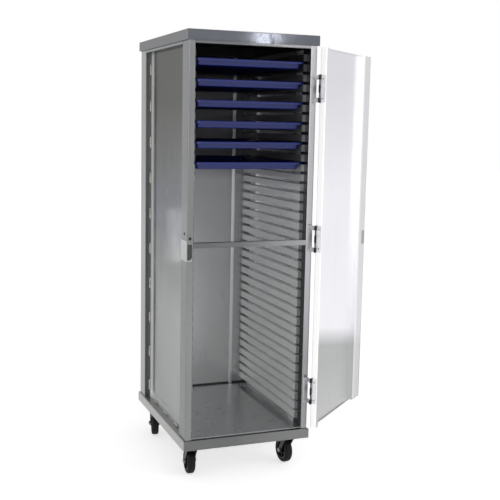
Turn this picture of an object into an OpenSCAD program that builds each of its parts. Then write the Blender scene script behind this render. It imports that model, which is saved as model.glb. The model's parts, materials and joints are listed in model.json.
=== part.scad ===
// Enclosed meal tray cart: an aluminium transport cabinet on four swivel casters,
// with one door, tray slides on both walls and six meal trays.
// Origin on the floor under the middle of the base. X to the right, -Y to the front, Z up.

/* [Cabinet] */
// Width over the base frame
body_w = 522; // [460:1:640]
// Depth over the base frame
body_d = 698; // [560:1:860]
// Height from the underside of the base frame to the top of the roof
body_h = 1576; // [1250:1:1900]
// Height of the base frame's rails
base_h = 38; // [34:1:60]
// Thickness of the base frame's metal
base_t = 3; // [2.5:0.5:4]
// How far the posts stand in from the edge of the base
post_inset = 7; // [6:0.5:12]
// Width of a corner post, across the cabinet
post_w = 25.4; // [20:0.2:40]
// Depth of a corner post, front to back
post_d = 76.2; // [50:0.2:90]
// Wall thickness of the posts and the top rails
post_t = 2; // [1.5:0.1:3]
// Height of the top rails between the posts
rail_h = 47.4; // [30:0.2:60]
// Thickness of the sheet in the panels, floor, roof and door
sheet_t = 1.6; // [1:0.1:2.5]
// Height of the roof's skirt
skirt_h = 38; // [25:1:60]
// How far the floor's top lies above the base frame
floor_rise = 6; // [5:0.5:10]

/* [Tray slides] */
// Distance from one slide to the next
slide_pitch = 38.1; // [36:0.1:50.8]
// Height of one slide
slide_h = 26.1; // [18:0.1:30]
// How far a slide stands out from the wall
slide_depth = 13.5; // [10:0.5:20]
// Thickness of a slide's metal
slide_t = 1.5; // [1:0.1:2]
// How far the slides' front ends stand behind the posts' front
slide_setback = 36; // [30:1:60]
// Height of the lowest slide's ledge above the floor, at the least
lowest_ledge = 50; // [30:1:120]
// Height of the middle rail's top above the ground
mid_rail_z = 929; // [700:1:1050]

/* [Trays] */
// Clearance between a tray's edge and the wall
tray_gap = 3.6; // [2:0.1:6]
// How far the trays' front edges stand behind the posts' front
tray_setback = 29.5; // [24:0.5:60]
// Depth of a tray, from its rim to its underside
tray_depth = 26; // [20:1:34]
// Depth of the turned-down lip under a tray's rim
tray_lip = 8.5; // [6:0.5:10]
// Thickness of a tray's wall
tray_t = 2.6; // [2:0.1:4]
// Radius of a tray's corners, seen from above
tray_corner = 30; // [26:1:45]

/* [Door] */
// Thickness of the door
door_t = 24; // [18:1:32]
// Gap between the closed door and the posts
door_gap = 4; // [3.5:0.1:6]
// Angle that the door stands open at
door_open = 222.5; // [0:0.5:265]
// Width of the stiffening channel along the door's free edge
channel_w = 75; // [50:1:110]
// Width of the folded lip along the door's hinge edge
door_lip = 25; // [12:1:40]
// Height of a hinge
hinge_h = 102; // [80:1:140]
// Radius of a hinge's knuckles
knuckle_r = 4; // [3.6:0.1:5]
// Radius of a hinge's pin
pin_r = 2.4; // [2:0.1:2.8]
// Distance between the handle's two feet
handle_span = 128; // [96:1:160]

/* [Casters] */
// Height of a caster from the ground to the top of its plate
caster_h = 130; // [125:1:150]
// Diameter of a wheel
wheel_d = 101.6; // [80:0.2:110]
// Width of a wheel
wheel_w = 30; // [24:1:38]
// Horizontal distance from the swivel's axis to the axle
trail = 36; // [24:1:38]
// Radius of an axle
axle_r = 5; // [4:0.1:6]
// Radius of a kingpin
kingpin_r = 6; // [5:0.1:8]
// Distance of the swivel's axis from the side edge of the base
caster_in_x = 55; // [46:1:70]
// Distance of the swivel's axis from the front or rear edge of the base
caster_in_y = 73; // [56:1:80]

/* [Hidden] */
$fn = 48;

// Clearance of a pin or shaft in its hole
fit = 0.05;
// Root gap left at a welded joint
weld_gap = 0.2;
// Smallest outer radius of a bend in the sheet
bend_r = 2.5;

// Corner posts
foot_x = body_w / 2;
foot_y = body_d / 2;
base_z = caster_h;
base_top = base_z + base_h;
roof_top = base_z + body_h;
post_top = roof_top - sheet_t;
post_out = foot_x - post_inset;
post_in = post_out - post_w;
post_front = foot_y - post_inset;
post_back = post_front - post_d;
post_round = 2.5;

// Base frame, floor and roof
base_bend = 4;
base_flange = 38;
cross_w = 40;
cross_h = 26;
cross_y = body_d / 5;
pad_t = 4.8;
pad_size = 130;
floor_top = base_top + floor_rise;
floor_front = foot_y - 10;
floor_side_gap = 0.3;
floor_rear_gap = 12;
floor_strip = 5;
floor_strip_front = post_front - 26.5;
roof_hem = 5;
rail_z = post_top - rail_h;
rail_d = 25.4;
back_in = 4;
back_face = post_front - back_in - sheet_t;

// Tray slides, tray stops and trays
ledge_top = rail_z - 18.9;
slide_count = floor((ledge_top - floor_top - lowest_ledge) / slide_pitch) + 1;
slide_front = post_front - slide_setback;
slide_rear = back_face - 2.4;
slide_in = post_in - slide_depth;
stop_w = 15;
stop_d = 5;
stop_x = post_in * 0.75;
tray_count = 6;
tray_step = 2;
tray_first = 1;
tray_front = post_front - tray_setback;
tray_rear = back_face - stop_d - 0.9;
tray_x = post_in - tray_gap;
mid_leg = 20;
mid_t = 2;

// Door and hinges, all in the closed place
door_in = post_front + door_gap;
door_out = door_in + door_t;
pin_x = post_out + 1;
pin_y = door_out - 1;
hinge_setback = 6.5;
leaf_t = 2;
door_edge = pin_x - hinge_setback;
door_bottom = base_top + 10;
door_top = roof_top - skirt_h - 6;
door_hem = 5;
strike_t = 1;
channel_d = door_t - sheet_t - strike_t;
knuckle_end = 17;
knuckle_middle = 27.5;
leaf_screw_z = hinge_h / 2 - 14;
frame_leaf_in = pin_x - 22;
hinge_z = [
    door_bottom + 98,
    (door_bottom + door_top) / 2 - 36.5,
    door_top - 204.5
];

// Catch and handle
catch_z = mid_rail_z - 34;
catch_h = 58;
keeper_t = 1.5;
keeper_h = 78;
keeper_side = 71.5;
keeper_front = 20.5;
keeper_lift = 4;
button_r = 6;
handle_x = -(post_out - channel_w / 2 - 1.5);
handle_z = catch_z + 5;
handle_reach = 32;
handle_r = 5;

// Casters: side, end, swivel angle
corner_names = ["front_left", "front_right", "rear_left", "rear_right"];
corner_signs = [[-1, -1], [1, -1], [-1, 1], [1, 1]];
corner_turns = [-4, 6, 168, 174];
axle_z = wheel_d / 2;
plate_t = 3.5;
plate_w = 60;
plate_l = 92;
plate_bolt_x = 22.25;
plate_bolt_y = 38;
bolt_r = 4.2;
cup_r = 26;
crown_r = 27;
crown_t = 4;
race_gap = 0.3;
cup_z = caster_h - 12;
crown_top = cup_z - race_gap;
fork_t = 3.5;
fork_in = wheel_w / 2 + 2;
hub_half = wheel_w / 2 + 1;
tread = 14.8;

// ---- Shared shapes ----

// A box between two corners
module block(low, high) {
    translate(low) cube(high - low);
}

// A rectangle with round corners, its lowest corner at the origin
module round_rect(w, d, r) {
    translate([r, 0]) square([w - 2 * r, d]);
    translate([0, r]) square([w, d - 2 * r]);
    for (x = [r, w - r], y = [r, d - r]) translate([x, y]) circle(r);
}

// The section of a rectangular tube
module tube_section(w, d, t, r) {
    difference() {
        round_rect(w, d, r);
        translate([t, t]) round_rect(w - 2 * t, d - 2 * t, max(r - t, 0.3));
    }
}

// Two legs of sheet along +X and +Y, bent at the origin
module angle_section(leg_x, leg_y, t, r) {
    translate([r, 0]) square([leg_x - r, t]);
    translate([0, r]) square([t, leg_y - r]);
    intersection() {
        translate([r, r]) difference() {
            circle(r);
            circle(r - t);
        }
        square(r);
    }
}

// A channel with its web along X and both legs up, as wide as w and as deep as d
module channel_section(w, d, t, r) {
    difference() {
        intersection() {
            round_rect(w, d + 2 * r, r);
            square([w, d]);
        }
        translate([t, t]) round_rect(w - 2 * t, d + 2 * r, r - t);
    }
}

// Runs a section in the Y-Z plane along X
module along_x(x0, x1) {
    translate([x0, 0, 0]) rotate([90, 0, 90]) linear_extrude(x1 - x0) children();
}

// Runs a section in the X-Z plane along Y
module along_y(y0, y1) {
    translate([0, y1, 0]) rotate([90, 0, 0]) linear_extrude(y1 - y0) children();
}

// The place that the door's pieces take when the door stands open
module swung_open() {
    translate([pin_x, -pin_y, 0]) rotate([0, 0, door_open]) translate([-pin_x, pin_y, 0]) children();
}

// ---- Base ----

// One mitred rail along X: its outer face lies on y = 0 and it reaches inwards along +Y
module base_rail(length) {
    intersection() {
        along_x(-length / 2, length / 2)
            translate([0, base_h]) mirror([0, 1]) angle_section(base_flange, base_h, base_t, base_bend);
        linear_extrude(base_h) polygon([
            [-length / 2 + weld_gap, 0],
            [length / 2 - weld_gap, 0],
            [length / 2 - base_flange - weld_gap, base_flange],
            [-length / 2 + base_flange + weld_gap, base_flange]
        ]);
    }
}

// Two channels across the base that carry the floor
module cross_member(y) {
    inner = min(foot_x - base_flange, post_in - floor_side_gap - floor_strip) - weld_gap;
    translate([0, y - cross_w / 2, floor_top - sheet_t]) along_x(-inner, inner)
        mirror([0, 1]) channel_section(cross_w, cross_h, base_t, base_bend);
}

module base_frame() color("darkgray") {
    for (side = [-1, 1]) {
        translate([0, side * foot_y, base_z]) rotate([0, 0, side > 0 ? 180 : 0]) base_rail(body_w);
        translate([side * foot_x, 0, base_z]) rotate([0, 0, side > 0 ? 90 : -90]) base_rail(body_d);
        cross_member(side * cross_y);
    }
}

module at_caster(i) {
    translate([
        corner_signs[i][0] * (foot_x - caster_in_x),
        corner_signs[i][1] * (foot_y - caster_in_y),
        0
    ]) children();
}

module bolt_places() {
    for (x = [-plate_bolt_x, plate_bolt_x], y = [-plate_bolt_y, plate_bolt_y]) translate([x, y, 0]) children();
}

module caster_pads() color("gray") {
    for (i = [0:3]) difference() {
        mirror([corner_signs[i][0] < 0 ? 1 : 0, 0, 0]) mirror([0, corner_signs[i][1] < 0 ? 1 : 0, 0])
            block(
                [foot_x - base_t - pad_size, foot_y - base_t - pad_size, base_z],
                [foot_x - base_t, foot_y - base_t, base_z + pad_t]
            );
        at_caster(i) bolt_places() translate([0, 0, base_z - 1]) cylinder(h = pad_t + 2, r = bolt_r + 0.1);
    }
}

module caster_bolts() color("silver") {
    head = 5;
    nut = 6;
    for (i = [0:3]) at_caster(i) bolt_places() {
        translate([0, 0, base_z - plate_t - nut - 2]) cylinder(h = pad_t + plate_t + nut + 2 + head / 2, r = bolt_r);
        translate([0, 0, base_z + pad_t]) cylinder(h = head, r = 7.5, $fn = 6);
        translate([0, 0, base_z - plate_t - nut]) cylinder(h = nut, r = 7.5, $fn = 6);
    }
}

// The floor's sheet on two strips that stand on the base's side rails
module floor_panel() color("silver") {
    x = post_in - floor_side_gap;
    rear = back_face - floor_rear_gap;
    underside = floor_top - sheet_t;
    block([-x, -floor_front, underside], [x, rear, floor_top]);
    for (side = [0, 1]) mirror([side, 0, 0])
        block([x - floor_strip, -floor_strip_front, base_top], [x, rear, underside - weld_gap]);
}

// ---- Frame and panels ----

module post(sx, sy) color("silver") {
    translate([sx > 0 ? post_in : -post_out, sy > 0 ? post_back : -post_front, base_top])
        linear_extrude(post_top - base_top) tube_section(post_w, post_d, post_t, post_round);
}

module header(sy) color("silver") {
    y = sy > 0 ? post_front - rail_d : -post_front;
    along_x(-post_in, post_in) translate([y, rail_z]) tube_section(rail_d, rail_h, post_t, post_round);
}

module top_rail(sx) color("silver") {
    x = sx > 0 ? post_in : -post_out;
    along_y(-post_back, post_back) translate([x, rail_z]) tube_section(post_w, rail_h, post_t, post_round);
}

module side_panel(sx) color("lightgray") {
    x = sx > 0 ? post_in : -post_in - sheet_t;
    block([x, -post_back, base_top], [x + sheet_t, post_back, rail_z]);
}

module back_panel() color("lightgray") {
    block([-post_in, back_face, base_top], [post_in, back_face + sheet_t, rail_z]);
}

// A block with its four upper edges bent round
module soft_topped(x, y, z0, z1, r) {
    intersection() {
        along_y(-y, y) translate([-x, z0 - r]) round_rect(2 * x, z1 - z0 + r, r);
        along_x(-x, x) translate([-y, z0 - r]) round_rect(2 * y, z1 - z0 + r, r);
        block([-x, -y, z0], [x, y, z1]);
    }
}

module roof_pan() color("lightgray") {
    z0 = roof_top - skirt_h;
    difference() {
        soft_topped(foot_x, foot_y, z0, roof_top, bend_r);
        soft_topped(foot_x - sheet_t, foot_y - sheet_t, z0 + sheet_t, roof_top - sheet_t, bend_r - sheet_t);
        block(
            [-foot_x + roof_hem, -foot_y + roof_hem, z0 - 1],
            [foot_x - roof_hem, foot_y - roof_hem, z0 + 2 * sheet_t]
        );
    }
}

module mid_rail() color("silver") {
    translate([0, -(post_front - 2), mid_rail_z]) along_x(-post_in, post_in)
        mirror([0, 1]) angle_section(mid_leg + mid_t, mid_leg, mid_t, mid_t + 0.5);
}

// ---- Tray slides and trays ----

// Height of the ledge on slide i, counted down from the top
function ledge(i) = ledge_top - i * slide_pitch;

// A channel with its legs to the wall, closed at its front end
module tray_slides(sx) color("silver") {
    bend = 2;
    for (i = [0:slide_count - 1]) mirror([sx < 0 ? 1 : 0, 0, 0]) {
        along_y(-slide_front, slide_rear)
            translate([slide_in, ledge(i)]) rotate(-90) channel_section(slide_h, slide_depth, slide_t, bend);
        along_y(-slide_front, slide_t - slide_front)
            translate([slide_in, ledge(i)]) rotate(-90) intersection() {
                round_rect(slide_h, slide_depth + bend, bend);
                square([slide_h, slide_depth]);
            }
    }
}

module tray_stops() color("silver") {
    for (x = [-stop_x, stop_x])
        translate([x + stop_w / 2, back_face - stop_d, floor_top])
            linear_extrude(rail_z - floor_top) mirror([1, 0]) channel_section(stop_w, stop_d, slide_t, 2);
}

// Welds that join each side panel to its posts and to the base
module panel_welds() color("gray") {
    bead = 4;
    length = 45;
    pitch = 152;
    count = floor((rail_z - base_top - 100) / pitch);
    for (sx = [0, 1], sy = [0, 1]) mirror([sx, 0, 0]) mirror([0, sy, 0]) {
        for (i = [0:count])
            translate([post_in + sheet_t, post_back, rail_z - 90 - i * pitch])
                linear_extrude(length) polygon([[0, 0], [bead, 0], [bead * 0.35, -bead * 0.35], [0, -bead]]);
    }
    for (sx = [0, 1], y = [-1, 0, 1])
        mirror([sx, 0, 0]) along_y(y * pitch - length / 2, y * pitch + length / 2)
            translate([post_in + sheet_t, base_top])
                polygon([[0, 0], [bead, 0], [bead * 0.35, bead * 0.35], [0, bead]]);
}

// Half of a tray's rim, wall and floor, measured out from the centre of its corner radius
module tray_section() {
    r = tray_corner;
    lip = r - tray_t;
    wall = r - 15;
    foot = wall - 7;
    low = -tray_depth;
    polygon([
        [r, -tray_lip], [r, -2], [r - 2, 0],
        [wall + 0.5, 0], [wall - 1.5, -1.5],
        [foot, low + tray_t + 2.5], [foot - 2.5, low + tray_t], [foot - 5, low + tray_t],
        [foot - 5, low], [foot, low], [foot + 2.5, low + 2.5],
        [wall + 1, -tray_t - 1], [wall + 2, -tray_t],
        [lip, -tray_t], [lip, -tray_lip]
    ]);
}

module tray(n) color("midnightblue") {
    half_x = tray_x - tray_corner;
    half_y = (tray_front + tray_rear) / 2 - tray_corner;
    foot = tray_corner - 27;
    mid_y = (tray_rear - tray_front) / 2;
    translate([0, mid_y, ledge(tray_first + tray_step * (n - 1)) + tray_lip]) {
        for (side = [0, 1]) mirror([side, 0, 0])
            translate([half_x, 0, 0]) along_y(-half_y, half_y) tray_section();
        for (side = [0, 1]) mirror([0, side, 0])
            translate([0, half_y, 0]) along_x(-half_x, half_x) tray_section();
        for (sx = [0, 1], sy = [0, 1]) mirror([sx, 0, 0]) mirror([0, sy, 0])
            translate([half_x, half_y, 0]) rotate_extrude(angle = 90) tray_section();
        translate([-half_x - foot, -half_y - foot, -tray_depth])
            linear_extrude(tray_t) round_rect(2 * (half_x + foot), 2 * (half_y + foot), foot);
    }
}

// ---- Door, in its closed place unless swung open ----

module door_pan() color("gainsboro") swung_open() {
    w = door_edge + post_out;
    translate([-post_out, -door_out, door_bottom]) linear_extrude(door_top - door_bottom)
        difference() {
            tube_section(w, door_t, sheet_t, bend_r);
            translate([sheet_t, door_t / 2]) square([w - sheet_t - door_lip, door_t]);
        }
    for (z = [door_bottom, door_top - sheet_t])
        block(
            [-post_out + bend_r + channel_w, -door_out + sheet_t, z],
            [door_edge - bend_r, -door_out + sheet_t + door_hem, z + sheet_t]
        );
}

module door_channel() color("gainsboro") swung_open() {
    translate([-post_out + bend_r, -door_out + sheet_t + channel_d, door_bottom + sheet_t])
        linear_extrude(door_top - door_bottom - 2 * sheet_t)
            mirror([0, 1]) channel_section(channel_w, channel_d, sheet_t, bend_r);
}

module magnet_strike() color("gray") swung_open() {
    block(
        [-post_out + 2 * bend_r, -door_in - strike_t, catch_z - catch_h / 2],
        [-post_out + 2 * bend_r + 28, -door_in, catch_z + catch_h / 2]
    );
}

// A round bar pull on two feet
module door_handle() color("silver") swung_open() {
    bend = 12;
    reach = handle_reach - handle_r;
    translate([handle_x, -door_out, handle_z]) rotate([90, 0, 0]) {
        for (side = [-1, 1]) translate([0, side * handle_span / 2, 0]) {
            cylinder(h = reach - bend, r = handle_r);
            cylinder(h = 3, r = 11);
            translate([0, -side * bend, reach - bend]) rotate([0, 90, 0])
                rotate([0, 0, side > 0 ? 90 : 180]) rotate_extrude(angle = 90)
                    translate([bend, 0]) circle(handle_r);
        }
        translate([0, -handle_span / 2 + bend, reach]) rotate([-90, 0, 0])
            cylinder(h = handle_span - 2 * bend, r = handle_r);
    }
}

module handle_screws() color("silver") swung_open() {
    for (side = [-1, 1], x = [-8, 8])
        translate([handle_x + x, -door_out - 3, handle_z + side * handle_span / 2]) rotate([90, 0, 0])
            cylinder(h = 1.4, r1 = 2.2, r2 = 1.6);
}

// Places a hinge's pieces at the foot of each hinge, with the pin's axis on Z
module at_hinges() {
    for (z = hinge_z) translate([pin_x, -pin_y, z]) children();
}

module knuckle(z0, z1) {
    translate([0, 0, z0]) cylinder(h = z1 - z0, r = knuckle_r);
}

module frame_hinge_leaves() color("dimgray") {
    face = pin_y - post_front;
    web_x = -3.2;
    at_hinges() difference() {
        union() {
            block([frame_leaf_in - pin_x, face - leaf_t, 0], [web_x + leaf_t, face, hinge_h]);
            for (z = [0, hinge_h - knuckle_end]) {
                block([web_x, 0, z], [web_x + leaf_t, face, z + knuckle_end]);
                knuckle(z, z + knuckle_end);
            }
        }
        translate([0, 0, -1]) cylinder(h = hinge_h + 2, r = pin_r + fit);
    }
}

module door_hinge_leaves() color("dimgray") swung_open() {
    z0 = (hinge_h - knuckle_middle) / 2;
    z1 = z0 + knuckle_middle;
    face = -hinge_setback;
    at_hinges() difference() {
        union() {
            block([face, 4.5, 0], [face + leaf_t, door_t - 2, hinge_h]);
            block([face, -1.5, z0], [face + leaf_t + 1.5, 4.6, z1]);
            knuckle(z0, z1);
        }
        translate([0, 0, -1]) cylinder(h = hinge_h + 2, r = pin_r + fit);
    }
}

module hinge_pins() color("dimgray") {
    head = 2;
    at_hinges() {
        translate([0, 0, -1]) cylinder(h = hinge_h + 2, r = pin_r);
        for (z = [-head - 0.1, hinge_h + 0.1]) translate([0, 0, z]) cylinder(h = head, r = knuckle_r - 0.4);
    }
}

module frame_leaf_screws() color("silver") {
    for (side = [-1, 1])
        at_hinges() translate([-13, pin_y - post_front - leaf_t, hinge_h / 2 + side * leaf_screw_z])
            rotate([90, 0, 0]) cylinder(h = 1.2, r1 = 3.6, r2 = 2.6);
}

module door_leaf_screws() color("silver") swung_open() {
    for (side = [-1, 1])
        at_hinges() translate([-hinge_setback + leaf_t, door_t / 2 + 1, hinge_h / 2 + side * leaf_screw_z])
            rotate([0, 90, 0]) cylinder(h = 1, r1 = 3.4, r2 = 2.4);
}

// ---- Catch ----

// An angle on the post's corner, its front leg cut down to the height of the catch
module keeper_plate() color("lightgray") {
    top = catch_z + keeper_h / 2 + keeper_lift;
    difference() {
        translate([-post_out - keeper_t, -post_front - keeper_t, top - keeper_h])
            linear_extrude(keeper_h) angle_section(keeper_front, keeper_side, keeper_t, keeper_t + 0.5);
        block(
            [-post_out, -post_front - keeper_t - 1, catch_z + catch_h / 2],
            [-post_out + keeper_front, -post_front + 1, top + 1]
        );
    }
}

// The catch's magnet in its case, with its lower inner corner cut off
module magnet_catch() color("dimgray") {
    w = 17.5;
    cut = 8;
    translate([-post_out + 1.5, -post_front - keeper_t, catch_z - catch_h / 2])
        rotate([90, 0, 0]) linear_extrude(door_gap - keeper_t - 0.2)
            polygon([[0, 0], [w - cut, 0], [w, cut], [w, catch_h], [0, catch_h]]);
}

// A flat round head on a thin washer, standing up along Z
module button_head() {
    cylinder(h = 0.6, r = button_r);
    translate([0, 0, 0.5]) cylinder(h = 1.2, r1 = button_r - 1, r2 = button_r - 2.5);
}

module keeper_screws() color("dimgray") {
    translate([-post_out, -post_front + 35, catch_z + 66]) rotate([0, -90, 0]) button_head();
    translate([-post_out + 11.5, -post_front, catch_z + 51]) rotate([90, 0, 0]) button_head();
}

// ---- Casters, each in the frame of its own swivel axis, trailing towards +Y ----

// Puts a caster's swivelling pieces at corner i
module swivelled(i) {
    at_caster(i) rotate([0, 0, corner_turns[i]]) children();
}

// Puts a wheel's pieces, whose axis is Z, on the axle of the caster at corner i
module on_axle(i) {
    swivelled(i) translate([0, trail, axle_z]) rotate([0, 90, 0]) children();
}

module caster_plate(i) color("dimgray") at_caster(i) {
    bore_top = caster_h - 4.5;
    difference() {
        union() {
            translate([-plate_w / 2, -plate_l / 2, caster_h - plate_t])
                linear_extrude(plate_t) round_rect(plate_w, plate_l, 8);
            translate([0, 0, cup_z]) cylinder(h = caster_h - cup_z - 1, r = cup_r);
        }
        translate([0, 0, cup_z - 1]) cylinder(h = caster_h, r = kingpin_r + fit);
        translate([0, 0, bore_top]) cylinder(h = caster_h, r = kingpin_r + 4.3);
        bolt_places() translate([0, 0, caster_h - plate_t - 1]) cylinder(h = plate_t + 2, r = bolt_r + 0.1);
    }
}

// Where a line from p touches the circle of radius r round c, on the side given as -1 or 1
function touch(p, c, r, side) =
    let (d = p - c, turn = atan2(d[1], d[0]) + side * acos(r / norm(d)))
    c + r * [cos(turn), sin(turn)];

// The disc whose rim cuts in by sag between p and q, on the right of the way from p to q
module draw_in(p, q, sag) {
    chord = norm(q - p);
    r = (chord * chord / 4 + sag * sag) / (2 * sag);
    way = (q - p) / chord;
    translate((p + q) / 2 + (r - sag) * [way[1], -way[0]]) circle(r, $fn = 180);
}

// A fork leg's outline, drawn in along both edges, with a round foot at the axle
module fork_leg() {
    foot = [trail, axle_z];
    foot_r = 12;
    crown = crown_top - crown_t / 2;
    nose = [-17, crown - 4];
    heel = [19, crown];
    front = touch(nose, foot, foot_r, 1);
    rear = touch(heel, foot, foot_r, -1);
    difference() {
        polygon([[nose[0], crown], heel, rear, foot, front, nose]);
        draw_in(nose, front, 5);
        draw_in(rear, heel, 3);
    }
    translate(foot) circle(foot_r);
}

module fork(i) color("dimgray") swivelled(i) {
    difference() {
        union() {
            translate([0, 0, crown_top - crown_t]) cylinder(h = crown_t, r = crown_r);
            translate([0, 0, crown_top - 1]) cylinder(h = caster_h - 1 - crown_top, r = kingpin_r);
            translate([0, 0, caster_h - 4.2]) cylinder(h = 3.7, r = kingpin_r + 4);
            for (x = [-fork_in - fork_t, fork_in]) along_x(x, x + fork_t) fork_leg();
        }
        translate([-fork_in - fork_t - 1, trail, axle_z]) rotate([0, 90, 0])
            cylinder(h = 2 * (fork_in + fork_t + 1), r = axle_r + fit);
    }
}

module axle(i) color("silver") on_axle(i) {
    half = fork_in + fork_t;
    translate([0, 0, -half - 1]) cylinder(h = 2 * half + 8, r = axle_r);
    translate([0, 0, -half - 5]) cylinder(h = 5, r = axle_r + 3.8, $fn = 6);
    translate([0, 0, half]) cylinder(h = 5.5, r = axle_r + 3.8, $fn = 6);
}

module tyre(i) color("black") on_axle(i) {
    edge = 9;
    rotate_extrude() translate([wheel_d / 2 - tread, -wheel_w / 2]) intersection() {
        translate([-tread, 0]) round_rect(2 * tread, wheel_w, edge);
        square([tread, wheel_w]);
    }
}

// Bearing boss, web and rim, with ribs on both sides of the web
module hub(i) color("dimgray") on_axle(i) {
    rim = wheel_d / 2 - tread;
    rim_t = 4;
    boss = axle_r + 8;
    rib_h = wheel_w - 10;
    difference() {
        union() {
            cylinder(h = 2 * hub_half, r = boss, center = true);
            cylinder(h = 6, r = rim - rim_t / 2, center = true);
            difference() {
                cylinder(h = wheel_w - 2, r = rim, center = true);
                cylinder(h = wheel_w, r = rim - rim_t, center = true);
            }
            for (turn = [0:60:300]) rotate([0, 0, turn]) translate([boss - 1, -1.5, -rib_h / 2])
                cube([rim - rim_t - boss + 2, 3, rib_h]);
        }
        cylinder(h = 2 * hub_half + 2, r = axle_r + fit, center = true);
    }
}

base_frame();
caster_pads();
caster_bolts();
floor_panel();
post(-1, -1);  // front_left_post
post(1, -1);  // front_right_post
post(-1, 1);  // rear_left_post
post(1, 1);  // rear_right_post
header(-1);  // front_header
header(1);  // rear_header
top_rail(-1);  // left_top_rail
top_rail(1);  // right_top_rail
side_panel(-1);  // left_side_panel
side_panel(1);  // right_side_panel
back_panel();
roof_pan();
mid_rail();
tray_slides(-1);  // left_tray_slides
tray_slides(1);  // right_tray_slides
tray_stops();
panel_welds();
keeper_plate();
magnet_catch();
keeper_screws();
frame_hinge_leaves();
frame_leaf_screws();
hinge_pins();
door_pan();
door_channel();
magnet_strike();
door_handle();
handle_screws();
door_hinge_leaves();
door_leaf_screws();
for (n = [1:tray_count])
    tray(n);
for (i = [0:3]) {
    caster_plate(i);
    fork(i);
    axle(i);
    tyre(i);
    hub(i);
}
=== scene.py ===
import json
import math
import random

import bmesh
import bpy
from mathutils import Matrix, Vector


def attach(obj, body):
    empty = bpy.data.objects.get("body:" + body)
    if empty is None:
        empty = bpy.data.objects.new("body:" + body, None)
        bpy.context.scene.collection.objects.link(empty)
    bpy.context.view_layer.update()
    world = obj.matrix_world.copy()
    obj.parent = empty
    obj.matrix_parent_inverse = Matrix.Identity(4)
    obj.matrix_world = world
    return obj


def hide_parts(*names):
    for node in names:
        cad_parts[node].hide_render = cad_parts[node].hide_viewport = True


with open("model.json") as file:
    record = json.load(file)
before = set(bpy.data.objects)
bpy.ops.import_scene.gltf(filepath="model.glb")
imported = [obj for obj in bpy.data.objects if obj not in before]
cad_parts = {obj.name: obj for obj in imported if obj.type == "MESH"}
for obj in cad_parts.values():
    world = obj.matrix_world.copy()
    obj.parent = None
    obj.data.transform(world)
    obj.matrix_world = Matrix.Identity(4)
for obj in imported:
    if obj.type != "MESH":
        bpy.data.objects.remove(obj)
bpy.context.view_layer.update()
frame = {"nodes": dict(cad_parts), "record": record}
nodes = frame["nodes"]
scene = bpy.context.scene
scene.view_settings.view_transform = "Standard"
print("frame loaded:", len(nodes), "nodes")


def linear(red, green, blue):
    # turns screen values from 0 to 255 into the linear colour that renders as them
    def one(value):
        value /= 255
        return value / 12.92 if value <= 0.04045 else ((value + 0.055) / 1.055) ** 2.4
    return (one(red), one(green), one(blue), 1)


photoView = {
    "place": (-1.2457, -3.5461, 1.3769),
    "yaw": 21.19,  # degrees, from +Y towards +X
    "pitch": 7.95,  # degrees below level
    "roll": 1.14,
    "focal": 913.43 / 500,  # focal length over the picture's width
    "sensor": 36,  # mm
    "clipEnd": 60,
}


def makeCamera(look):
    yaw, pitch, roll = (math.radians(look[key]) for key in ("yaw", "pitch", "roll"))
    ahead = Vector((math.sin(yaw) * math.cos(pitch), math.cos(yaw) * math.cos(pitch), -math.sin(pitch)))
    right = Vector((math.cos(yaw), -math.sin(yaw), 0))
    up = right.cross(ahead)
    turnedRight = right * math.cos(roll) + up * math.sin(roll)
    turnedUp = up * math.cos(roll) - right * math.sin(roll)
    data = bpy.data.cameras.new("photoCamera")
    data.sensor_width = look["sensor"]
    data.lens = look["focal"] * data.sensor_width
    data.clip_end = look["clipEnd"]
    camera = bpy.data.objects.new("photoCamera", data)
    turn = Matrix((turnedRight, turnedUp, -ahead)).transposed().to_4x4()
    camera.matrix_world = Matrix.Translation(look["place"]) @ turn
    scene.collection.objects.link(camera)
    scene.camera = camera


class Num:
    # a number in a node tree, on which an operator adds its Math node
    def __init__(self, tree, socket):
        self.tree = tree
        self.socket = socket

    def math(self, operation, *others):
        node = self.tree.nodes.new("ShaderNodeMath")
        node.operation = operation
        for slot, value in zip(node.inputs, (self, *others)):
            feed(self.tree, slot, value)
        return Num(self.tree, node.outputs[0])

    def __add__(self, other):
        return self.math("ADD", other)

    def __sub__(self, other):
        return self.math("SUBTRACT", other)

    def __rsub__(self, other):
        return (self * -1) + other

    def __mul__(self, other):
        return self.math("MULTIPLY", other)

    __radd__ = __add__
    __rmul__ = __mul__

    def clamped(self):
        return self.math("MAXIMUM", 0).math("MINIMUM", 1)

    def between(self, start, end):
        # 0 at start and before it, 1 at end and past it, whichever of the two is higher
        return ((self - start) * (1 / (end - start))).clamped()


def feed(tree, socket, value):
    if isinstance(value, Num):
        tree.links.new(value.socket, socket)
    elif isinstance(value, bpy.types.NodeSocket):
        tree.links.new(value, socket)
    else:
        socket.default_value = value


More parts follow.
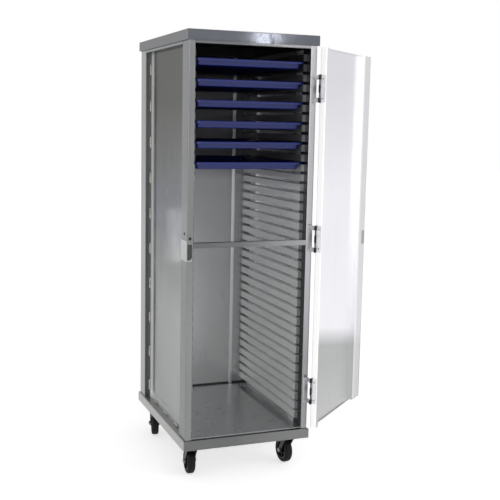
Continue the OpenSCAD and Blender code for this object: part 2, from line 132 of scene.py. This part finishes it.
class Finish:
    # a material under way: its tree, its shader and the ways to add to them
    def __init__(self, name, **constants):
        self.material = bpy.data.materials.new(name)
        self.material.use_nodes = True
        self.tree = self.material.node_tree
        self.shader = self.tree.nodes["Principled BSDF"]
        for key, value in constants.items():
            self.set(key, value)
        self.where = self.add("TexCoord", {}).outputs["Object"]

    def add(self, kind, settings, **values):
        node = self.tree.nodes.new("ShaderNode" + kind)
        for key, value in settings.items():
            setattr(node, key, value)
        for key, value in values.items():
            feed(self.tree, node.inputs[key.replace("_", " ")], value)
        return node

    def set(self, key, value):
        feed(self.tree, self.shader.inputs[key.replace("_", " ")], value)

    def noise(self, scale, stretch=(1, 1, 1), detail=3, rough=0.5):
        place = self.add("Mapping", {}, Vector=self.where, Scale=stretch).outputs[0]
        node = self.add("TexNoise", {}, Vector=place, Scale=scale, Detail=detail, Roughness=rough)
        return Num(self.tree, node.outputs["Fac"])

    def cells(self, scale):
        node = self.add("TexVoronoi", {}, Vector=self.where, Scale=scale)
        return Num(self.tree, node.outputs["Distance"])

    def axis(self, letter):
        return Num(self.tree, self.add("SeparateXYZ", {}, Vector=self.where).outputs[letter])

    def mixed(self, factor, first, second):
        # the numbers are those of the Mix node's sockets for colours
        node = self.add("Mix", {"data_type": "RGBA"})
        feed(self.tree, node.inputs[0], factor)
        feed(self.tree, node.inputs[6], first)
        feed(self.tree, node.inputs[7], second)
        return node.outputs[2]

    def bumps(self, *layers):
        # layers are (height, distance in metres), from the broadest to the finest
        normal = None
        for height, distance in layers:
            node = self.add("Bump", {}, Height=height, Distance=distance)
            if normal:
                feed(self.tree, node.inputs["Normal"], normal)
            normal = node.outputs[0]
        self.set("Normal", normal)


studio = {
    "ambient": 0.42,
    "floor": (0.86, 0.86, 0.86, 1),
    "floorHalf": 20,  # from its middle to its edge
    "floorRoughness": 0.8,
    "floorLift": 0.62,
    "lamps": (
        # name, place, aim, width and height, watts
        ("keyLamp", (3.4, -3.4, 3.2), (0.3, 0, 1.0), (2.0, 2.0), 45),
        ("frontLamp", (-1.7, -4.9, 1.6), (0.1, 0, 0.8), (2.2, 2.2), 40),
        ("windowLamp", (-0.656, 1.28, 0.752), (-0.23, -0.146, 0.936), (0.05, 0.30), 0.07),
        ("roofLamp", (1.273, -3.396, 2.003), (0.044, -0.349, 1.697), (0.05, 0.12), 0.75),
    ),
}


def cameraSees(tree):
    # 1 for what the camera sees straight, in a reflection or through glass, 0 for what lights the part
    path = tree.nodes.new("ShaderNodeLightPath").outputs
    straight, glossy, through = (
        Num(tree, path[kind]) for kind in ("Is Camera Ray", "Is Glossy Ray", "Is Transmission Ray"))
    return (straight + glossy + through).clamped()


def makeStudio(look):
    world = bpy.data.worlds.new("studio")
    world.use_nodes = True
    scene.world = world
    background = world.node_tree.nodes["Background"]
    background.inputs["Color"].default_value = (1, 1, 1, 1)
    strength = cameraSees(world.node_tree) * (1 - look["ambient"]) + look["ambient"]
    feed(world.node_tree, background.inputs["Strength"], strength)

    shape = bmesh.new()
    bmesh.ops.create_grid(shape, x_segments=1, y_segments=1, size=look["floorHalf"])
    floor = finished(shape, "studioFloor")
    surface = Finish("studioFloor", Base_Color=look["floor"], Roughness=look["floorRoughness"])
    surface.set("Emission_Color", (1, 1, 1, 1))
    surface.set("Emission_Strength", cameraSees(surface.tree) * look["floorLift"])
    floor.data.materials.append(surface.material)

    for name, place, aim, size, watts in look["lamps"]:
        data = bpy.data.lights.new(name, "AREA")
        data.shape = "RECTANGLE"
        data.size, data.size_y = size
        data.energy = watts
        lamp = bpy.data.objects.new(name, data)
        lamp.visible_camera = False
        lamp.location = place
        lamp.rotation_euler = (Vector(aim) - Vector(place)).to_track_quat("-Z", "Y").to_euler()
        scene.collection.objects.link(lamp)


def finished(shape, name, smooth=False):
    # turns a bmesh into an object of that name
    mesh = bpy.data.meshes.new(name)
    shape.to_mesh(mesh)
    shape.free()
    piece = bpy.data.objects.new(name, mesh)
    scene.collection.objects.link(piece)
    if smooth:
        mesh.shade_smooth()
    return piece


makeCamera(photoView)
makeStudio(studio)
print("camera and studio ready")


def runAlong(letter, across, along):
    # a stretch whose streaks run along one axis
    return tuple(along if axis == letter else across for axis in "XYZ")


def placeOn(finish, line):
    # a place along an axis, |away| from the middle along it, or along a direction
    if isinstance(line, str):
        place = finish.axis(line[-1])
        return place.math("ABSOLUTE") if line.startswith("|") else place
    node = finish.add("VectorMath", {"operation": "DOT_PRODUCT"}, Vector=finish.where)
    node.inputs[1].default_value = line
    return Num(finish.tree, node.outputs["Value"])


def within(finish, amount, limits):
    # an amount where every limit holds: each is a line, where it starts and where it is full
    for line, start, end in limits:
        amount = placeOn(finish, line).between(start, end) * amount
    return amount


# what all sheets have in common: a sheet's own look says only what differs
plainSheet = {
    "metallic": 0.9, "roughness": 0.22,
    "run": "Z",  # the way it was rolled
    "cloudScale": 3.2, "clouds": 0.8,
    "streakScale": (46, 1.6),  # across the run and along it
    "streaks": 0.5, "streakDulling": 0.08, "streakDepth": 0.0001,
    "grainScale": (900, 9), "grain": 0.1, "grainDepth": 0.000004,
    "scratchScale": (260, 7), "scratchEdges": (0.68, 0.73), "scratches": 0.2, "scratchShine": 0.04,
    "smudgeScale": 13, "smudgeEdges": (0.50, 0.80), "smudgeDulling": 0.10,
    "smearScale": 24, "smearEdges": (0.58, 0.68), "smears": 0,
    "canScale": 2.4, "canning": 0.0006,
    "paintedLightAndTones": (),  # painted light and shade, and some tones: each an amount, a shade and limits
    "roughPlaces": (),  # each an amount and limits
}


def rolledSheet(name, look):
    # aluminium sheet: clouds, streaks along its run, fine grain, scratches, smudges, oil-canning, and the
    # painted light and shade that a look lists
    look = {**plainSheet, **look}
    finish = Finish(name, Metallic=look["metallic"])
    if "edgeTint" in look:
        finish.set("Specular_Tint", look["edgeTint"])

    def lined(scale, **settings):
        return finish.noise(1, stretch=runAlong(look["run"], *scale), **settings)

    clouds = finish.noise(look["cloudScale"], detail=4, rough=0.55)
    streaks = lined(look["streakScale"], detail=3, rough=0.6)
    grain = lined(look["grainScale"], detail=2)
    scratches = lined(look["scratchScale"], detail=2).between(*look["scratchEdges"])
    smudges = finish.noise(look["smudgeScale"], detail=6, rough=0.72).between(*look["smudgeEdges"])

    tone = (clouds - 0.5) * look["clouds"] + (streaks - 0.5) * look["streaks"]
    tone = tone + (grain - 0.5) * look["grain"] + 0.5
    colour = finish.mixed(tone.clamped(), look["dark"], look["light"])
    # lays the painted light and shade, and other tones, over the colour
    for amount, shade, *limits in look["paintedLightAndTones"]:
        colour = finish.mixed(within(finish, amount, limits), colour, shade)
    if look["smears"]:
        smears = finish.noise(look["smearScale"], detail=8, rough=0.75).between(*look["smearEdges"])
        smears = within(finish, smears * look["smears"], look["smearLimits"])
        colour = finish.mixed(smears, colour, look["smearShade"])
    finish.set("Base_Color", finish.mixed(scratches * look["scratches"], colour, look["light"]))

    rough = look["roughness"] + smudges * look["smudgeDulling"]
    rough = rough + (streaks - 0.5) * look["streakDulling"] - scratches * look["scratchShine"]
    for amount, *limits in look["roughPlaces"]:
        rough = rough + within(finish, amount, limits)
    finish.set("Roughness", rough)
    finish.bumps(
        (finish.noise(look["canScale"], detail=1), look["canning"]),
        (streaks, look["streakDepth"]),
        (grain, look["grainDepth"]),
    )
    return finish.material


joints = frame["record"]["behaviour"]["joints"]
doorJoint = next(joint for joint in joints if joint["name"] == "door_hinge")
doorPin = Vector(doorJoint["pos_m"])
doorTurn = math.radians(180 - doorJoint["range_deg"][0])  # the door's direction from its pin, from +X
doorAlong = Vector((math.cos(doorTurn), math.sin(doorTurn), 0))
doorStart = doorPin.dot(doorAlong)
doorTilted = doorAlong * 0.2 + Vector((0, 0, 1))  # up, leaning towards the door's free edge
doorOut = Vector((-doorAlong.y, doorAlong.x, 0))  # away from the door's outer face at rest
doorSkin = doorPin.dot(doorOut) + 0.0005  # the middle of the outer sheet
wallSkin = 0.2294  # |X| of the middle of the side panels' sheet
postInside = 0.2286  # |X| of the posts' inner faces
turnOver = 0.0002  # to each side of a sheet's middle, where a tone changes from one face to the other
leftSide = ("X", 0.01, 0)
hingeSide = ("X", 0.20, 0.22)
insideBack = ("Y", 0.3374, 0.3370)  # the back panel's inner face
baseTop = ("Z", 0.1670, 0.1676)

railLook = {
    "dark": linear(96, 98, 100), "light": linear(120, 122, 124),
    "run": "X", "streaks": 0.6, "canning": 0.0004,
}

sheetLooks = {
    "wall": {
        "dark": linear(152, 154, 154), "light": linear(196, 198, 198), "roughness": 0.13,
        "edgeTint": (0.35, 0.35, 0.35, 1),
        "clouds": 1.2, "grain": 0.08, "streakDepth": 0.00015, "canning": 0.005,
        "smears": 0.4, "smearShade": linear(226, 230, 234),
        "smearLimits": (("Z", 1.30, 1.10), ("Z", 0.35, 0.60)),
        "paintedLightAndTones": (
            # painted reflection: the left panel darker towards the top
            (0.9, linear(134, 135, 132), ("Z", 0.95, 1.45), leftSide),
            # painted light: the right panel lighter
            (0.5, linear(196, 197, 198), ("X", 0, 0.01)),
            # painted reflection: a bluish band on the left panel
            (0.4, linear(152, 156, 168), ("Z", 1.25, 1.10), ("Z", 0.80, 0.95), leftSide),
            # painted reflection: the left panel lighter towards the bottom
            (0.7, linear(222, 224, 224), ("Z", 0.95, 0.60), leftSide),
            (0.9, linear(236, 236, 234), ("|Y", 0.214, 0.240)),  # beside the welds
            # painted light: the inner faces lighter
            (1, linear(228, 229, 229), ("|X", wallSkin + turnOver, wallSkin - turnOver)),
        ),
        "roughPlaces": ((0.45, ("|Y", 0.195, 0.230)), (0.3, ("Z", 0.215, 0.19))),
    },
    "back": {
        "dark": linear(146, 148, 150), "light": linear(164, 166, 167),
        "metallic": 0.85, "roughness": 0.30,
        "streaks": 0.4, "grain": 0.08, "canning": 0.003,
        "paintedLightAndTones": (
            # painted light: lighter towards the bottom
            (0.6, linear(186, 188, 188), ("Z", 0.75, 0.25)),
            # painted shade: the inner face darker upwards
            (0.45, linear(118, 119, 122), ("Z", 0.80, 1.05), insideBack),
            (0.9, linear(80, 80, 86), ("Z", 1.12, 1.24), insideBack),  # painted shade behind the trays
            # painted shade: the inner face near black under the header
            (0.9, linear(24, 24, 28), ("Z", 1.53, 1.59), insideBack),
            # painted shadow: a dark line at the foot of the inner face, along the floor
            (0.9, linear(50, 50, 52), ("Z", 0.184, 0.179), insideBack),
        ),
    },
    "stop": {
        "dark": linear(200, 202, 203), "light": linear(216, 217, 218),
        "metallic": 0.85, "roughness": 0.30,
        "streaks": 0.4, "grain": 0.08, "streakDepth": 0.00005, "canning": 0.0005,
        # painted shade: darker towards the top
        "paintedLightAndTones": ((0.8, linear(70, 70, 76), ("Z", 1.50, 1.60)),),
    },
    "floor": {
        "dark": linear(170, 171, 172), "light": linear(192, 193, 194),
        "metallic": 0.8, "roughness": 0.24, "run": "Y",
        "clouds": 0.7, "streaks": 0.4, "streakDepth": 0.00008, "canning": 0.002,
    },
    "slide": {
        # painted light: near white, lighter than the other aluminium, to brighten the shaded inside
        "dark": linear(246, 247, 246), "light": linear(254, 255, 254),
        "metallic": 0.2, "roughness": 0.30, "run": "Y",
        "clouds": 0.5, "streaks": 0.4, "streakDepth": 0.00005, "canning": 0.0004,
        "paintedLightAndTones": (
            # painted shade above the trays
            (0.9, linear(78, 78, 82), ("Z", 1.12, 1.24)),
            # painted shade at the top
            (0.8, linear(30, 30, 34), ("Z", 1.52, 1.58)),
            (0.9, linear(112, 113, 114), ("Y", -0.3048, -0.3055), ("Z", 1.24, 1.12)),  # painted shade on the front ends
            # painted shade towards the back
            (0.5, linear(140, 140, 142), ("Y", 0.30, 0.33)),
        ),
    },
    "roof": {
        "dark": linear(88, 90, 97), "light": linear(114, 116, 124), "roughness": 0.11, "run": "X",
        "edgeTint": (0.5, 0.5, 0.5, 1),
        "clouds": 0.9, "smudgeDulling": 0.14, "canning": 0.003,
        "paintedLightAndTones": (
            # painted shade: the inside of the pan near black; then painted light: its left skirt lighter
            (0.9, linear(20, 20, 22), ("Z", 1.7052, 1.7048), ("|X", 0.257, 0.254), ("|Y", 0.345, 0.342)),
            (0.8, linear(158, 158, 160), ("X", -0.2600, -0.2604)),
        ),
    },
    "door": {
        "dark": linear(232, 231, 236), "light": linear(250, 249, 253),
        "metallic": 0.85, "roughness": 0.34,
        "clouds": 0.6, "grain": 0.08, "streakDepth": 0.00008, "canning": 0.003,
        "paintedLightAndTones": (
            # painted shade: greyer towards the top
            (0.7, linear(210, 210, 215), ("Z", 1.10, 1.55)),
            # painted reflection: the foot of the inner face darker below a leaning line; then painted shade:
            # the outer face darker
            (0.9, linear(164, 166, 165),
             (doorTilted, 0.575, 0.500), (doorOut, doorSkin + turnOver, doorSkin - turnOver)),
            (0.7, linear(204, 205, 207), (doorOut, doorSkin - turnOver, doorSkin + turnOver)),
            # painted shade: darker towards the bottom
            (0.3, linear(214, 212, 211), ("Z", 0.40, 0.16)),
            # painted highlight: a lighter band beside the channel
            (0.3, linear(248, 248, 250), (doorAlong, doorStart + 0.36, doorStart + 0.425)),
            (1, linear(255, 255, 255), (doorAlong, doorStart + 0.0105, doorStart + 0.0100)),  # painted light on the hinge edge
        ),
    },
    "channel": {
        "dark": linear(206, 206, 209), "light": linear(226, 226, 229),
        "metallic": 0.85, "roughness": 0.34,
        "clouds": 0.5, "grain": 0.08, "streakDepth": 0.00008, "canning": 0.001,
        "paintedLightAndTones": (
            # painted highlight: the channel lighter nearer the hinge
            (1, linear(236, 236, 238), (doorAlong, doorStart + 0.452, doorStart + 0.440)),
            # painted reflection: the foot darker below the same leaning line as the door
            (0.4, linear(170, 172, 171), (doorTilted, 0.575, 0.500)),
        ),
    },
    "post": {
        "dark": linear(118, 120, 120), "light": linear(146, 148, 148), "streaks": 0.6,
        "paintedLightAndTones": (
            # painted light: the posts on the hinge side lighter
            (0.85, linear(192, 191, 195), hingeSide),
            # painted shade: those darker towards the bottom
            (0.7, linear(124, 124, 127), ("Z", 0.90, 0.45), hingeSide),
            (0.8, linear(92, 92, 96), ("X", -0.2534, -0.2538), ("Y", 0, -0.1)),  # painted shade on the left side, in front
            # painted shade on the faces that look along Y, beside the panels
            (0.6, linear(70, 69, 68), ("|Y", 0.2663, 0.2660)),
            # painted shade on the inner faces
            (0.8, linear(62, 62, 64), ("|X", postInside + 0.0005, postInside + 0.0001)),
        ),
    },
    "rail": {
        **railLook,
        # painted light: lighter towards the right
        "paintedLightAndTones": ((0.7, linear(176, 176, 178), ("X", -0.05, 0.22)),),
    },
    "rearRail": {
        **railLook,
        "paintedLightAndTones": ((0.9, linear(20, 20, 22), ("Y", 0.3170, 0.3167)),),  # painted shade on its inner face
    },
    "sideRail": {
        **railLook, "run": "Y",
        # painted shade on the inner faces
        "paintedLightAndTones": ((0.9, linear(20, 20, 22), ("|X", postInside + 0.0004, postInside + 0.0001)),),
    },
    "base": {
        "dark": linear(92, 93, 94), "light": linear(122, 123, 123), "roughness": 0.30, "run": "X",
        "clouds": 1.0, "grain": 0.12, "grainDepth": 0.000006,
        "paintedLightAndTones": (
            # painted light: lighter towards the right
            (0.5, linear(136, 136, 136), ("X", -0.05, 0.22)),
            # painted light: the left face lighter
            (0.8, linear(168, 168, 166), ("X", -0.2600, -0.2604)),
            # painted light: the top faces lighter
            (0.7, linear(172, 172, 170), baseTop),
            # painted shadow: the slot in front of the floor dark
            (0.9, linear(30, 30, 32), baseTop, ("Y", -0.3378, -0.3384), ("Y", -0.3462, -0.3456)),
        ),
    },
    "keeper": {
        "dark": linear(146, 147, 147), "light": linear(172, 173, 172), "roughness": 0.24,
        "clouds": 0.5, "streakDepth": 0.00005, "canning": 0.0003,
    },
    "handle": {
        "dark": linear(150, 151, 152), "light": linear(188, 188, 189), "metallic": 1.0,
        "clouds": 0.5, "grain": 0.15, "streakDepth": 0.00004, "canning": 0.0002,
    },
}
finishes = {key: rolledSheet(key + "Sheet", look) for key, look in sheetLooks.items()}

plainLeaf = {
    "dark": linear(34, 34, 36),
    "knuckle": (0.0050, 0.0044),  # from the pin's middle, where the dark starts and where it is full
    "metallic": 0.85, "roughness": 0.32,
    "wearScale": 60, "wearEdges": (0.48, 0.75), "wearDulling": 0.18,
    "pitScale": 260, "pitDepth": 0.00004,
}
leafLooks = {
    "frameLeaf": {"light": linear(190, 190, 194), "dull": linear(160, 160, 163)},
    "doorLeaf": {"light": linear(226, 226, 229), "dull": linear(196, 196, 198)},
}


def hingeLeaf(name, look):
    # pale leaves, dark where the knuckles wrap the pin
    look = {**plainLeaf, **look}
    finish = Finish(name, Metallic=look["metallic"])
    away = [finish.axis(letter) - middle for letter, middle in zip("XY", doorPin)]
    knuckle = (away[0] * away[0] + away[1] * away[1]).math("SQRT").between(*look["knuckle"])
    wear = finish.noise(look["wearScale"], detail=5, rough=0.7).between(*look["wearEdges"])
    plate = finish.mixed(wear, look["light"], look["dull"])
    finish.set("Base_Color", finish.mixed(knuckle, plate, look["dark"]))
    finish.set("Roughness", look["roughness"] + wear * look["wearDulling"])
    finish.bumps((finish.noise(look["pitScale"], detail=4), look["pitDepth"]))
    return finish.material


for key, look in leafLooks.items():
    finishes[key] = hingeLeaf(key, look)

zincLook = {
    "dark": linear(118, 118, 116), "light": linear(182, 182, 178), "spangleScale": 260,
    "roughness": 0.25, "dullScale": 160, "dulling": 0.2,
    "pitScale": 900, "pitDepth": 0.00002,
}


def zincPlate(name, look):
    finish = Finish(name, Metallic=1)
    spangle = finish.cells(look["spangleScale"])
    finish.set("Base_Color", finish.mixed(spangle.clamped(), look["dark"], look["light"]))
    finish.set("Roughness", finish.noise(look["dullScale"], detail=3) * look["dulling"] + look["roughness"])
    finish.bumps((finish.noise(look["pitScale"], detail=3), look["pitDepth"]))
    return finish.material


finishes["zinc"] = zincPlate("zincPlate", zincLook)

# what all paints have in common
plainPaint = {
    "metallic": 0,
    "dustScale": 22, "dustEdges": (0.45, 0.80), "dust": 0.3, "dustDulling": 0.2,
    "rubScale": 60, "rubEdges": (0.66, 0.74),
}
darkLook = {
    "colour": linear(40, 40, 42), "dustColour": linear(92, 92, 92), "rubColour": linear(130, 130, 130),
    "metallic": 0.4, "roughness": 0.38, "rub": 0.3, "peelScale": 500, "peelDepth": 0.00004,
}
casterLook = {
    "colour": linear(9, 9, 11), "dustColour": linear(40, 39, 38), "rubColour": linear(92, 92, 92),
    "roughness": 0.4, "rub": 0.25, "peelScale": 420, "peelDepth": 0.00005,
}
coreLook = {
    "colour": linear(9, 9, 11), "dustColour": linear(40, 39, 38), "rubColour": linear(60, 60, 60),
    "roughness": 0.35, "dust": 0.35, "rub": 0.15, "peelScale": 700, "peelDepth": 0.00003,
}


def darkPaint(name, look):
    # paint with orange peel, dust and rubbed places
    look = {**plainPaint, **look}
    finish = Finish(name, Metallic=look["metallic"])
    dust = finish.noise(look["dustScale"], detail=5, rough=0.7).between(*look["dustEdges"])
    rubbed = finish.noise(look["rubScale"], detail=6, rough=0.8).between(*look["rubEdges"])
    colour = finish.mixed(dust * look["dust"], look["colour"], look["dustColour"])
    finish.set("Base_Color", finish.mixed(rubbed * look["rub"], colour, look["rubColour"]))
    finish.set("Roughness", look["roughness"] + dust * look["dustDulling"])
    finish.bumps((finish.noise(look["peelScale"], detail=2), look["peelDepth"]))
    return finish.material


finishes["dark"] = darkPaint("darkMetal", darkLook)
finishes["caster"] = darkPaint("casterPaint", casterLook)
finishes["core"] = darkPaint("casterCore", coreLook)

tyreLook = {
    "colour": linear(5, 5, 6), "dustColour": linear(24, 24, 23), "roughness": 0.62, "gloss": 0.25,
    "dustScale": 30, "dustEdges": (0.45, 0.75), "dust": 0.5, "dustDulling": 0.15,
    "pitScale": 240, "pitDepth": 0.00012,
}


def tyreRubber(name, look):
    finish = Finish(name, Specular_IOR_Level=look["gloss"])
    dust = finish.noise(look["dustScale"], detail=6, rough=0.75).between(*look["dustEdges"])
    finish.set("Base_Color", finish.mixed(dust * look["dust"], look["colour"], look["dustColour"]))
    finish.set("Roughness", look["roughness"] + dust * look["dustDulling"])
    finish.bumps((finish.noise(look["pitScale"], detail=4), look["pitDepth"]))
    return finish.material


finishes["tyre"] = tyreRubber("tyreRubber", tyreLook)

trayLook = {
    "dark": linear(22, 16, 94), "light": linear(12, 44, 120), "roughness": 0.38,
    "flowScale": 5, "flowStretch": (1, 0.4, 3), "flowDulling": 0.1,
    "scuffColour": linear(98, 108, 168),
    "scuffStretch": (25, 90, 160), "scuffEdges": (0.60, 0.78), "scuffs": 0.35, "scuffDulling": 0.2,
    "pebbleScale": 520, "pebbleDepth": 0.00012,
    "grainScale": 1400, "grainDepth": 0.00004,
}


def trayPlastic(name, look):
    # moulded plastic: pebbled skin, faint flow marks, pale scuffs
    finish = Finish(name)
    flow = finish.noise(look["flowScale"], stretch=look["flowStretch"], detail=5, rough=0.6)
    scuffs = finish.noise(1, stretch=look["scuffStretch"], detail=5, rough=0.75).between(*look["scuffEdges"])
    colour = finish.mixed(flow, look["dark"], look["light"])
    finish.set("Base_Color", finish.mixed(scuffs * look["scuffs"], colour, look["scuffColour"]))
    rough = look["roughness"] + scuffs * look["scuffDulling"]
    finish.set("Roughness", rough + (flow - 0.5) * look["flowDulling"])
    finish.bumps(
        (finish.cells(look["pebbleScale"]), look["pebbleDepth"]),
        (finish.noise(look["grainScale"], detail=2), look["grainDepth"]),
    )
    return finish.material


finishes["tray"] = trayPlastic("trayPlastic", trayLook)

weldMetalLook = {
    "light": linear(188, 188, 184), "dark": linear(120, 119, 116), "metallic": 0.85, "roughness": 0.32,
    "sootScale": 70, "sootEdges": (0.45, 0.70), "sootDulling": 0.25,
    "pitScale": 500, "pitDepth": 0.00015,
}


def weldMetal(name, look):
    finish = Finish(name, Metallic=look["metallic"])
    soot = finish.noise(look["sootScale"], detail=5, rough=0.7).between(*look["sootEdges"])
    finish.set("Base_Color", finish.mixed(soot, look["light"], look["dark"]))
    finish.set("Roughness", look["roughness"] + soot * look["sootDulling"])
    finish.bumps((finish.noise(look["pitScale"], detail=4), look["pitDepth"]))
    return finish.material


finishes["weld"] = weldMetal("weldMetal", weldMetalLook)

catchLook = {
    "colour": linear(58, 58, 60), "wearColour": linear(104, 104, 104), "roughness": 0.5,
    "wearScale": 80, "wearEdges": (0.55, 0.75), "wear": 0.4, "wearDulling": 0.15,
    "pitScale": 700, "pitDepth": 0.00005,
}


def catchPlastic(name, look):
    finish = Finish(name)
    wear = finish.noise(look["wearScale"], detail=5, rough=0.7).between(*look["wearEdges"])
    finish.set("Base_Color", finish.mixed(wear * look["wear"], look["colour"], look["wearColour"]))
    finish.set("Roughness", look["roughness"] + wear * look["wearDulling"])
    finish.bumps((finish.noise(look["pitScale"], detail=3), look["pitDepth"]))
    return finish.material


finishes["catch"] = catchPlastic("catchPlastic", catchLook)

finishNames = {
    "left_side_panel": "wall", "right_side_panel": "wall", "back_panel": "back", "roof_pan": "roof",
    "floor_panel": "floor", "base_frame": "base", "caster_pads": "base", "mid_rail": "rail",
    "tray_stops": "stop", "panel_welds": "weld", "keeper_plate": "keeper", "magnet_catch": "catch",
    "hinge_pins": "dark", "door_pan": "door", "door_channel": "channel", "door_handle": "handle",
    "magnet_strike": "zinc",
}
finishEndings = (
    # the first ending that fits counts
    ("_post", "post"), ("front_header", "rail"), ("rear_header", "rearRail"), ("_top_rail", "sideRail"),
    ("tray_slides", "slide"), ("_caster_plate", "caster"), ("_fork", "caster"), ("_axle", "zinc"),
    ("_tyre", "tyre"), ("_hub", "core"), ("keeper_screws", "dark"), ("screws", "zinc"),
    ("bolts", "zinc"), ("frame_hinge_leaves", "frameLeaf"), ("door_hinge_leaves", "doorLeaf"),
)


def finishOf(node):
    # the finish that a CAD node takes, by the piece it is
    if node in finishNames:
        return finishNames[node]
    return next((key for ending, key in finishEndings if node.endswith(ending)), "tray")


for name, piece in nodes.items():
    piece.data.materials.clear()
    piece.data.materials.append(finishes[finishOf(name)])
print("finishes on", len(nodes), "nodes")


def lowCorner(part):
    # the low corner of a part's box, to a tenth of a millimetre
    return [round(min(corner[axis] for corner in part), 4) for axis in range(3)]


def looseParts(node):
    # the corners of each loose part of a CAD node, in a fixed order
    shape = bmesh.new()
    shape.from_mesh(nodes[node].data)
    bmesh.ops.remove_doubles(shape, verts=shape.verts, dist=1e-6)
    parts = []
    waiting = set(shape.verts)
    for start in shape.verts:
        if start not in waiting:
            continue
        waiting.remove(start)
        found = [start]
        for corner in found:
            for edge in corner.link_edges:
                other = edge.other_vert(corner)
                if other in waiting:
                    waiting.remove(other)
                    found.append(other)
        parts.append([corner.co.copy() for corner in found])
    shape.free()
    return sorted(parts, key=lowCorner)


def addTo(shape, part):
    # moves a part's bmesh into a bigger one
    mesh = bpy.data.meshes.new("part")
    part.to_mesh(mesh)
    part.free()
    shape.from_mesh(mesh)
    bpy.data.meshes.remove(mesh)


weldLook = {
    "pitch": 0.0025,  # from one ripple to the next
    "radius": 0.0046,
    "inset": 0.0015,  # how far a ripple reaches into the sheets it joins
    "thickness": 0.0023,
    "lean": 0.45,  # radians
    "unevenness": 0.12,
    "endSize": 0.75,  # of the first and last ripples, next to the others
    "segments": 8,
    "rings": 5,
    "seed": 5,
}


def makeWelds(node, look):
    # each bead is a row of leaning ripples in the corner that its CAD solid fills
    draw = random.Random(look["seed"])
    shape = bmesh.new()
    for part in looseParts(node):
        low = [min(corner[axis] for corner in part) for axis in range(3)]
        high = [max(corner[axis] for corner in part) for axis in range(3)]
        middle = [math.fsum(corner[axis] for corner in part) / len(part) for axis in range(3)]
        along = max(range(3), key=lambda axis: high[axis] - low[axis])
        out = Vector(low[axis] + high[axis] - 2 * middle[axis] for axis in range(3))
        corner = Vector(low[axis] if out[axis] > 0 else high[axis] for axis in range(3))
        out = Vector(0 if axis == along else math.copysign(1, out[axis]) for axis in range(3))
        run = Vector(1 if axis == along else 0 for axis in range(3))
        turn = run.to_track_quat("Z", "Y").to_matrix().to_4x4()
        lean = Matrix.Rotation(look["lean"], 4, run.cross(out).normalized())
        length = high[along] - low[along]
        count = round(length / look["pitch"])
        bead = bmesh.new()
        for step in range(count):
            swell = 1 + draw.uniform(-1, 1) * look["unevenness"]
            if step in (0, count - 1):
                swell *= look["endSize"]
            radius = look["radius"] * swell
            place = corner + out * (radius - look["inset"])
            place[along] = low[along] + (step + 0.5) * length / count
            scale = Matrix.Diagonal((radius, radius, look["thickness"], 1))
            bmesh.ops.create_uvsphere(
                bead, u_segments=look["segments"], v_segments=look["rings"], radius=1,
                matrix=Matrix.Translation(place) @ lean @ turn @ scale)
        addTo(shape, bead)
    welds = finished(shape, "weldBeads", smooth=True)
    welds.data.materials.append(finishes["weld"])
    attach(welds, "cabinet")
    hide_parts(node)


makeWelds("panel_welds", weldLook)
print("welds made")

screwLook = {
    "cells": 8,  # squares across the head
    "armWidth": 0.25,  # of the head's radius, to each side
    "armLength": 0.5,
    "pitDepth": 0.7,  # of the head's height
    "pitTaper": 0.7,
    "crown": 0.55,  # how much lower the edge is than the middle
}


def crossHead(look):
    # a crowned head of radius and height 1 with a cross-shaped pit
    shape = bmesh.new()
    bmesh.ops.create_grid(shape, x_segments=look["cells"], y_segments=look["cells"], size=1)
    cross = []
    for face in shape.faces:
        across, along = sorted(abs(value) for value in face.calc_center_median()[:2])
        if across < look["armWidth"] and along < look["armLength"]:
            cross.append(face)
    sunk = bmesh.ops.extrude_face_region(shape, geom=cross)["geom"]
    pit = {item for item in sunk if isinstance(item, bmesh.types.BMVert)}
    for corner in shape.verts:
        # the square becomes a disc, and the disc a crown
        across, along, _ = corner.co
        corner.co.x = across * math.sqrt(1 - along * along / 2)
        corner.co.y = along * math.sqrt(1 - across * across / 2)
        corner.co.z = 1 - look["crown"] * corner.co.xy.length_squared
        if corner in pit:
            corner.co.xy *= look["pitTaper"]
            corner.co.z = 1 - look["pitDepth"]
    rim = [edge for edge in shape.edges if edge.is_boundary]
    skirt = bmesh.ops.extrude_edge_only(shape, edges=rim)["geom"]
    for item in skirt:
        if isinstance(item, bmesh.types.BMVert):
            item.co.z = 0
    bmesh.ops.holes_fill(shape, edges=[edge for edge in shape.edges if edge.is_boundary], sides=0)
    bmesh.ops.recalc_face_normals(shape, faces=shape.faces)
    mesh = bpy.data.meshes.new("crossHead")
    shape.to_mesh(mesh)
    shape.free()
    return mesh


def makeScrews(name, node, body, out, head):
    # a cross head where each of the node's plain heads is, facing out
    turn = out.to_track_quat("Z", "Y").to_matrix().to_4x4()
    shape = bmesh.new()
    for part in looseParts(node):
        heights = [corner.dot(out) for corner in part]
        middle = sum(part, Vector()) / len(part)
        base = middle + out * (min(heights) - middle.dot(out))
        radius = max((corner - base - out * (corner - base).dot(out)).length for corner in part)
        height = max(heights) - min(heights)
        already = len(shape.verts)
        shape.from_mesh(head)
        shape.verts.ensure_lookup_table()
        scale = Matrix.Diagonal((radius, radius, height, 1))
        place = Matrix.Translation(base) @ turn @ scale
        bmesh.ops.transform(shape, matrix=place, verts=shape.verts[already:])
    screws = finished(shape, name)
    screws.data.materials.append(finishes["zinc"])
    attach(screws, body)
    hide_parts(node)


head = crossHead(screwLook)
makeScrews("frameLeafScrews", "frame_leaf_screws", "cabinet", Vector((0, -1, 0)), head)
makeScrews("doorLeafScrews", "door_leaf_screws", "door", -doorAlong, head)
makeScrews("handleScrews", "handle_screws", "door", doorOut, head)
bpy.data.meshes.remove(head)
print("screws made")
